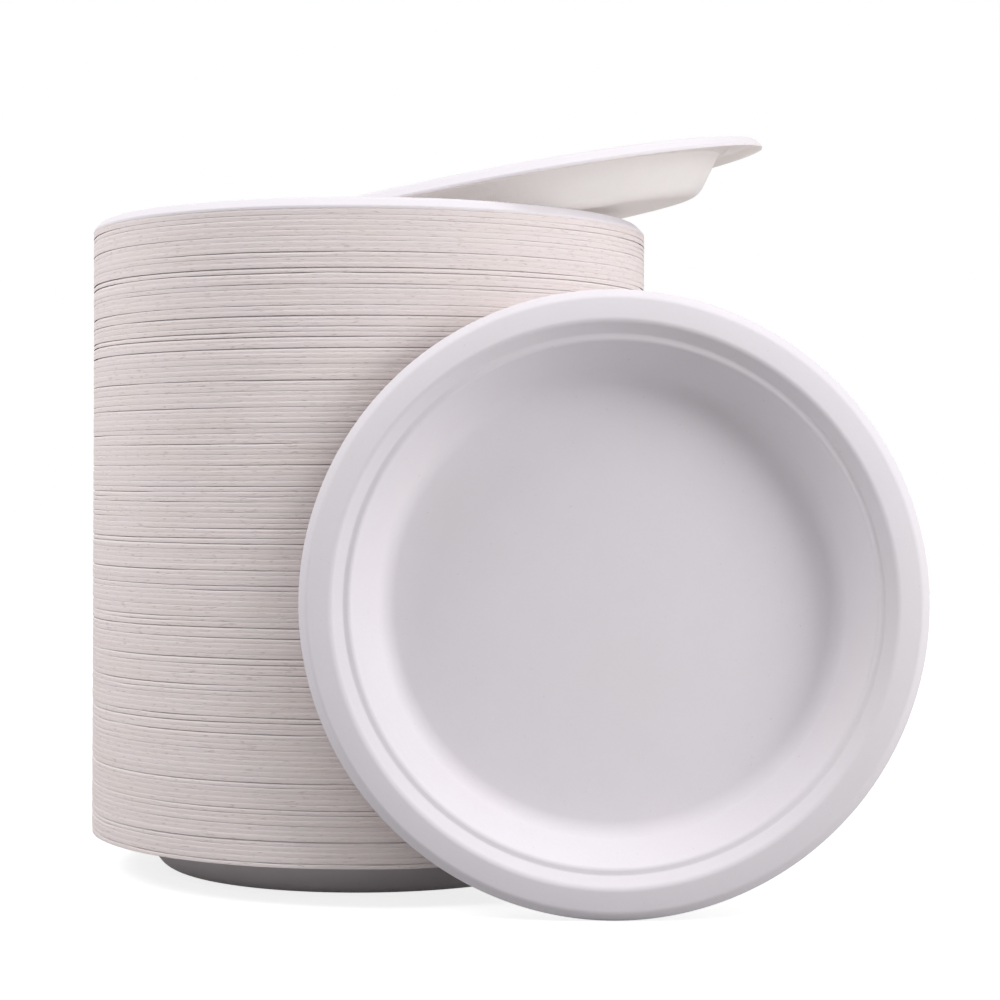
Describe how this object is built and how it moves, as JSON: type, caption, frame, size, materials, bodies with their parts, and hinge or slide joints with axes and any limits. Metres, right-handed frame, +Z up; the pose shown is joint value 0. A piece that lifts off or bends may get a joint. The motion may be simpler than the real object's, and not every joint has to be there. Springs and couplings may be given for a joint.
{
  "type": "stack of paper plates",
  "caption": "Tall stack of nested round moulded pulp plates, with one plate askew on the top and one standing on its rim against the front.",
  "frame": {"origin": "centre of the lowest plate's base, on the surface that the stack stands on", "axes": "+Z up through the stack; -Y towards the viewer, the side that the leaning plate stands on; +X to the right, the side to which the askew plate and the leaning plate lie"},
  "size_m": [0.3198, 0.2671, 0.299],
  "materials": {
    "pulp_white": "matte",
    "pulp_cream": "matte"
  },
  "bodies": {
    "root": {"lowest_plate": "pulp_cream", "nested_plates_01": "pulp_cream", "nested_plates_02": "pulp_cream", "nested_plates_03": "pulp_cream", "nested_plates_04": "pulp_cream", "nested_plates_05": "pulp_cream", "nested_plates_06": "pulp_cream", "nested_plates_07": "pulp_cream", "nested_plates_08": "pulp_cream", "nested_plates_09": "pulp_cream", "nested_plates_10": "pulp_cream", "nested_plates_11": "pulp_cream", "nested_plates_12": "pulp_cream", "nested_plates_13": "pulp_cream", "nested_plates_14": "pulp_cream", "nested_plates_15": "pulp_cream", "nested_plates_16": "pulp_cream", "nested_plates_17": "pulp_cream", "nested_plates_18": "pulp_cream", "nested_plates_19": "pulp_cream", "nested_plates_20": "pulp_cream", "nested_plates_21": "pulp_cream", "nested_plates_22": "pulp_cream", "nested_plates_23": "pulp_cream", "nested_plates_24": "pulp_cream", "nested_plates_25": "pulp_cream", "nested_plates_26": "pulp_cream", "nested_plates_27": "pulp_cream", "nested_plates_28": "pulp_cream", "nested_plates_29": "pulp_cream", "nested_plates_30": "pulp_cream", "nested_plates_31": "pulp_cream", "nested_plates_32": "pulp_cream", "nested_plates_33": "pulp_cream", "nested_plates_34": "pulp_cream", "nested_plates_35": "pulp_cream", "nested_plates_36": "pulp_cream", "nested_plates_37": "pulp_cream", "nested_plates_38": "pulp_cream", "nested_plates_39": "pulp_cream", "nested_plates_40": "pulp_cream", "nested_plates_41": "pulp_cream", "uppermost_plate": "pulp_white", "askew_plate": "pulp_white", "leaning_plate": "pulp_white"}
  },
  "joints": []
}
